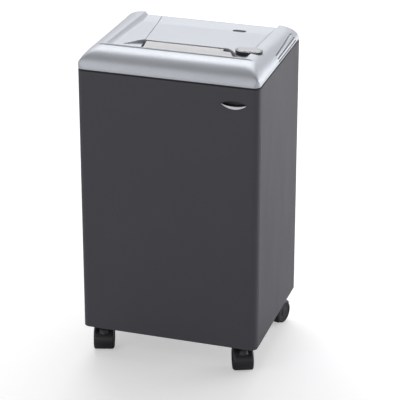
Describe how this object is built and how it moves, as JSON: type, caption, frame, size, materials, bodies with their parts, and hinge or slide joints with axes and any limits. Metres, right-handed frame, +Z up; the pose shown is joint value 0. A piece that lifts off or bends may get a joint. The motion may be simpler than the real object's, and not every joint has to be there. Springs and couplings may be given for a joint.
{
  "type": "paper shredder",
  "caption": "Office paper shredder: dark boarded cabinet on twin-wheel casters with a hinged door and bin, under a silver hood with feed recess, flap and rocker switch.",
  "frame": {"origin": "on the floor, under the middle of the cabinet", "axes": "+Z up, +X to the right as seen from the front, the front looks along -Y"},
  "size_m": [0.395, 0.317, 0.7175],
  "materials": {
    "laminate": "dark grey laminated board, satin",
    "silver_shell": "silver painted moulding, semi-gloss",
    "black_moulding": "fine grained black",
    "wheel_tread": "matt black",
    "plated_steel": "zinc plated",
    "dark_steel": "blackened",
    "gear_steel": "machined, lightly oiled",
    "bright_chrome": "polished",
    "clear_flap": "frosted clear plastic",
    "bin_plastic": "matt dark grey",
    "circuit_board": "green solder resist",
    "bronze_bush": "sintered",
    "smoked_window": "smoked, polished"
  },
  "bodies": {
    "cabinet": {"left_board": "laminate", "right_board": "laminate", "base_board": "laminate", "back_board": "laminate", "hinge_leaf_board": "plated_steel", "hinge_pin": "plated_steel", "door_catch": "black_moulding", "shred_bin": "bin_plastic", "head_tray": "black_moulding", "hood": "silver_shell", "top_panel": "silver_shell", "indicator_window": "smoked_window", "rocker_bezel": "bright_chrome", "feed_throat": "black_moulding", "flap_pin": "plated_steel", "flap_switch": "black_moulding", "paper_sensor": "black_moulding", "control_board": "circuit_board", "motor": "dark_steel", "side_plate_left": "plated_steel", "side_plate_right": "plated_steel", "bush_front_left": "bronze_bush", "bush_front_right": "bronze_bush", "bush_rear_left": "bronze_bush", "bush_rear_right": "bronze_bush", "stripper_front": "plated_steel", "stripper_rear": "plated_steel", "tie_rod_front": "plated_steel", "tie_rod_rear": "plated_steel", "mains_inlet": "black_moulding", "caster_stem_front_left": "dark_steel", "caster_stem_front_right": "dark_steel", "caster_stem_rear_left": "dark_steel", "caster_stem_rear_right": "dark_steel"},
    "door": {"door": "laminate", "pull_cup": "black_moulding", "pull_lip": "bright_chrome", "door_strike": "plated_steel", "hinge_leaf_door": "plated_steel"},
    "flap": {"safety_flap": "clear_flap"},
    "switch_rocker": {"rocker": "bright_chrome"},
    "rear_cutter": {"cutter_rear": "dark_steel", "sync_gear_rear": "gear_steel", "drive_gear": "gear_steel"},
    "front_cutter": {"cutter_front": "dark_steel", "sync_gear_front": "gear_steel"},
    "idler": {"idler_gear": "gear_steel"},
    "motor_rotor": {"motor_pinion": "gear_steel"},
    "caster_front_left": {"caster_hood_front_left": "black_moulding"},
    "wheel_front_left_left": {"wheel_front_left_left": "wheel_tread"},
    "wheel_front_left_right": {"wheel_front_left_right": "wheel_tread"},
    "caster_front_right": {"caster_hood_front_right": "black_moulding"},
    "wheel_front_right_left": {"wheel_front_right_left": "wheel_tread"},
    "wheel_front_right_right": {"wheel_front_right_right": "wheel_tread"},
    "caster_rear_left": {"caster_hood_rear_left": "black_moulding"},
    "wheel_rear_left_left": {"wheel_rear_left_left": "wheel_tread"},
    "wheel_rear_left_right": {"wheel_rear_left_right": "wheel_tread"},
    "caster_rear_right": {"caster_hood_rear_right": "black_moulding"},
    "wheel_rear_right_left": {"wheel_rear_right_left": "wheel_tread"},
    "wheel_rear_right_right": {"wheel_rear_right_right": "wheel_tread"}
  },
  "joints": [
    {"name": "door_hinge", "type": "hinge", "parent": "cabinet", "child": "door", "pos_m": [-0.1953, -0.1425, 0.372], "axis": [0, 0, -1], "range_deg": [0, 110]},
    {"name": "flap_hinge", "type": "hinge", "parent": "cabinet", "child": "flap", "pos_m": [0, -0.026, 0.6975], "axis": [1, 0, 0], "range_deg": [0, 10], "stiffness_Nm_per_rad": 0.03, "springref_deg": -40.11},
    {"name": "rocker_pivot", "type": "hinge", "parent": "cabinet", "child": "switch_rocker", "pos_m": [0.144, -0.048, 0.7115], "axis": [0, 1, 0], "range_deg": [-5, 5], "stiffness_Nm_per_rad": 0.2},
    {"name": "rear_cutter_spin", "type": "hinge", "parent": "cabinet", "child": "rear_cutter", "pos_m": [0, -0.063, 0.634], "axis": [1, 0, 0], "continuous": true},
    {"name": "front_cutter_spin", "type": "hinge", "parent": "cabinet", "child": "front_cutter", "pos_m": [0, -0.093, 0.634], "axis": [1, 0, 0], "continuous": true},
    {"name": "idler_spin", "type": "hinge", "parent": "cabinet", "child": "idler", "pos_m": [0.14, -0.02593, 0.61897], "axis": [1, 0, 0], "continuous": true},
    {"name": "motor_spin", "type": "hinge", "parent": "cabinet", "child": "motor_rotor", "pos_m": [0.14, 0.014, 0.632], "axis": [1, 0, 0], "continuous": true},
    {"name": "swivel_front_left", "type": "hinge", "parent": "cabinet", "child": "caster_front_left", "pos_m": [-0.161, -0.127, 0.06], "axis": [0, 0, 1], "continuous": true},
    {"name": "roll_front_left_left", "type": "hinge", "parent": "caster_front_left", "child": "wheel_front_left_left", "pos_m": [-0.18031, -0.11589, 0.025], "axis": [0.9613, 0.2756, 0], "continuous": true},
    {"name": "roll_front_left_right", "type": "hinge", "parent": "caster_front_left", "child": "wheel_front_left_right", "pos_m": [-0.15051, -0.10735, 0.025], "axis": [0.9613, 0.2756, 0], "continuous": true},
    {"name": "swivel_front_right", "type": "hinge", "parent": "cabinet", "child": "caster_front_right", "pos_m": [0.161, -0.127, 0.06], "axis": [0, 0, 1], "continuous": true},
    {"name": "roll_front_right_left", "type": "hinge", "parent": "caster_front_right", "child": "wheel_front_right_left", "pos_m": [0.14064, -0.11797, 0.025], "axis": [0.9272, 0.3746, 0], "continuous": true},
    {"name": "roll_front_right_right", "type": "hinge", "parent": "caster_front_right", "child": "wheel_front_right_right", "pos_m": [0.16938, -0.10636, 0.025], "axis": [0.9272, 0.3746, 0], "continuous": true},
    {"name": "swivel_rear_left", "type": "hinge", "parent": "cabinet", "child": "caster_rear_left", "pos_m": [-0.161, 0.112, 0.06], "axis": [0, 0, 1], "continuous": true},
    {"name": "roll_rear_left_left", "type": "hinge", "parent": "caster_rear_left", "child": "wheel_rear_left_left", "pos_m": [-0.18011, 0.12344, 0.025], "axis": [0.9659, 0.2588, 0], "continuous": true},
    {"name": "roll_rear_left_right", "type": "hinge", "parent": "caster_rear_left", "child": "wheel_rear_left_right", "pos_m": [-0.15017, 0.13147, 0.025], "axis": [0.9659, 0.2588, 0], "continuous": true},
    {"name": "swivel_rear_right", "type": "hinge", "parent": "cabinet", "child": "caster_rear_right", "pos_m": [0.161, 0.112, 0.06], "axis": [0, 0, 1], "continuous": true},
    {"name": "roll_rear_right_left", "type": "hinge", "parent": "caster_rear_right", "child": "wheel_rear_right_left", "pos_m": [0.15017, 0.13147, 0.025], "axis": [0.9659, -0.2588, 0], "continuous": true},
    {"name": "roll_rear_right_right", "type": "hinge", "parent": "caster_rear_right", "child": "wheel_rear_right_right", "pos_m": [0.18011, 0.12344, 0.025], "axis": [0.9659, -0.2588, 0], "continuous": true}
  ],
  "couplings": [
    {"joint": "front_cutter_spin", "follows": "rear_cutter_spin", "ratio": -1},
    {"joint": "idler_spin", "follows": "rear_cutter_spin", "ratio": -3},
    {"joint": "motor_spin", "follows": "rear_cutter_spin", "ratio": 9.6}
  ]
}
